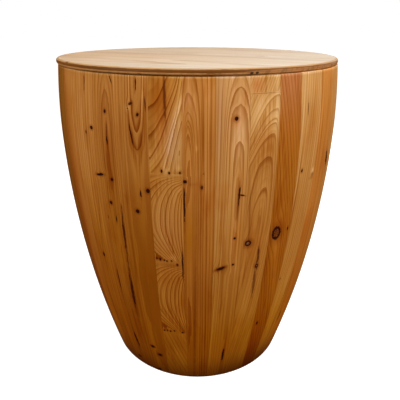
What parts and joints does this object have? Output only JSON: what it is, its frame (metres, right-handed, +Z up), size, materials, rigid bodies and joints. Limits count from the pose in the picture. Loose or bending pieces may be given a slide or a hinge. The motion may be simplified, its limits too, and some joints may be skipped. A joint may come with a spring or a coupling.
{
  "type": "lidded drum side table",
  "caption": "Tapering, gently bulging wooden drum table of edge-glued staves with a loose round plank lid that lifts off its hollow storage body.",
  "frame": {"origin": "on the floor, on the drum's axis", "axes": "+Z up along the drum's axis, the pictured front faces -Y, +X to the viewer's right"},
  "size_m": [0.4596, 0.4596, 0.54],
  "materials": {
    "stave_wood": "solid softwood, turned and sanded, clear satin oil",
    "lid_wood": "solid softwood, sanded, clear satin oil",
    "inner_wood": "planed, unfinished",
    "screw_steel": "zinc plated"
  },
  "bodies": {
    "drum": {"stave_01": "stave_wood", "stave_02": "stave_wood", "stave_03": "stave_wood", "stave_04": "stave_wood", "stave_05": "stave_wood", "stave_06": "stave_wood", "stave_07": "stave_wood", "stave_08": "stave_wood", "stave_09": "stave_wood", "stave_10": "stave_wood", "stave_11": "stave_wood", "stave_12": "stave_wood", "stave_13": "stave_wood", "stave_14": "stave_wood", "stave_15": "stave_wood", "stave_16": "stave_wood", "stave_17": "stave_wood", "stave_18": "stave_wood", "stave_19": "stave_wood", "stave_20": "stave_wood", "stave_21": "stave_wood", "stave_22": "stave_wood", "stave_23": "stave_wood", "stave_24": "stave_wood", "stave_25": "stave_wood", "stave_26": "stave_wood", "stave_27": "stave_wood", "stave_28": "stave_wood", "stave_29": "stave_wood", "stave_30": "stave_wood", "stave_31": "stave_wood", "stave_32": "stave_wood", "stave_33": "stave_wood", "stave_34": "stave_wood", "bottom_board_1": "inner_wood", "bottom_board_2": "inner_wood", "bottom_board_3": "inner_wood", "bottom_board_4": "inner_wood"},
    "lid": {"lid_plank_1": "lid_wood", "lid_plank_2": "lid_wood", "lid_plank_3": "lid_wood", "lid_plank_4": "lid_wood", "lid_plank_5": "lid_wood", "lid_batten_1": "inner_wood", "lid_batten_2": "inner_wood", "lid_screw_01": "screw_steel", "lid_screw_02": "screw_steel", "lid_screw_03": "screw_steel", "lid_screw_04": "screw_steel", "lid_screw_05": "screw_steel", "lid_screw_06": "screw_steel", "lid_screw_07": "screw_steel", "lid_screw_08": "screw_steel", "lid_screw_09": "screw_steel", "lid_screw_10": "screw_steel"}
  },
  "joints": [
    {"name": "lid_lift", "type": "slide", "parent": "drum", "child": "lid", "axis": [0, 0, 1], "range_m": [0, 0.25]}
  ]
}
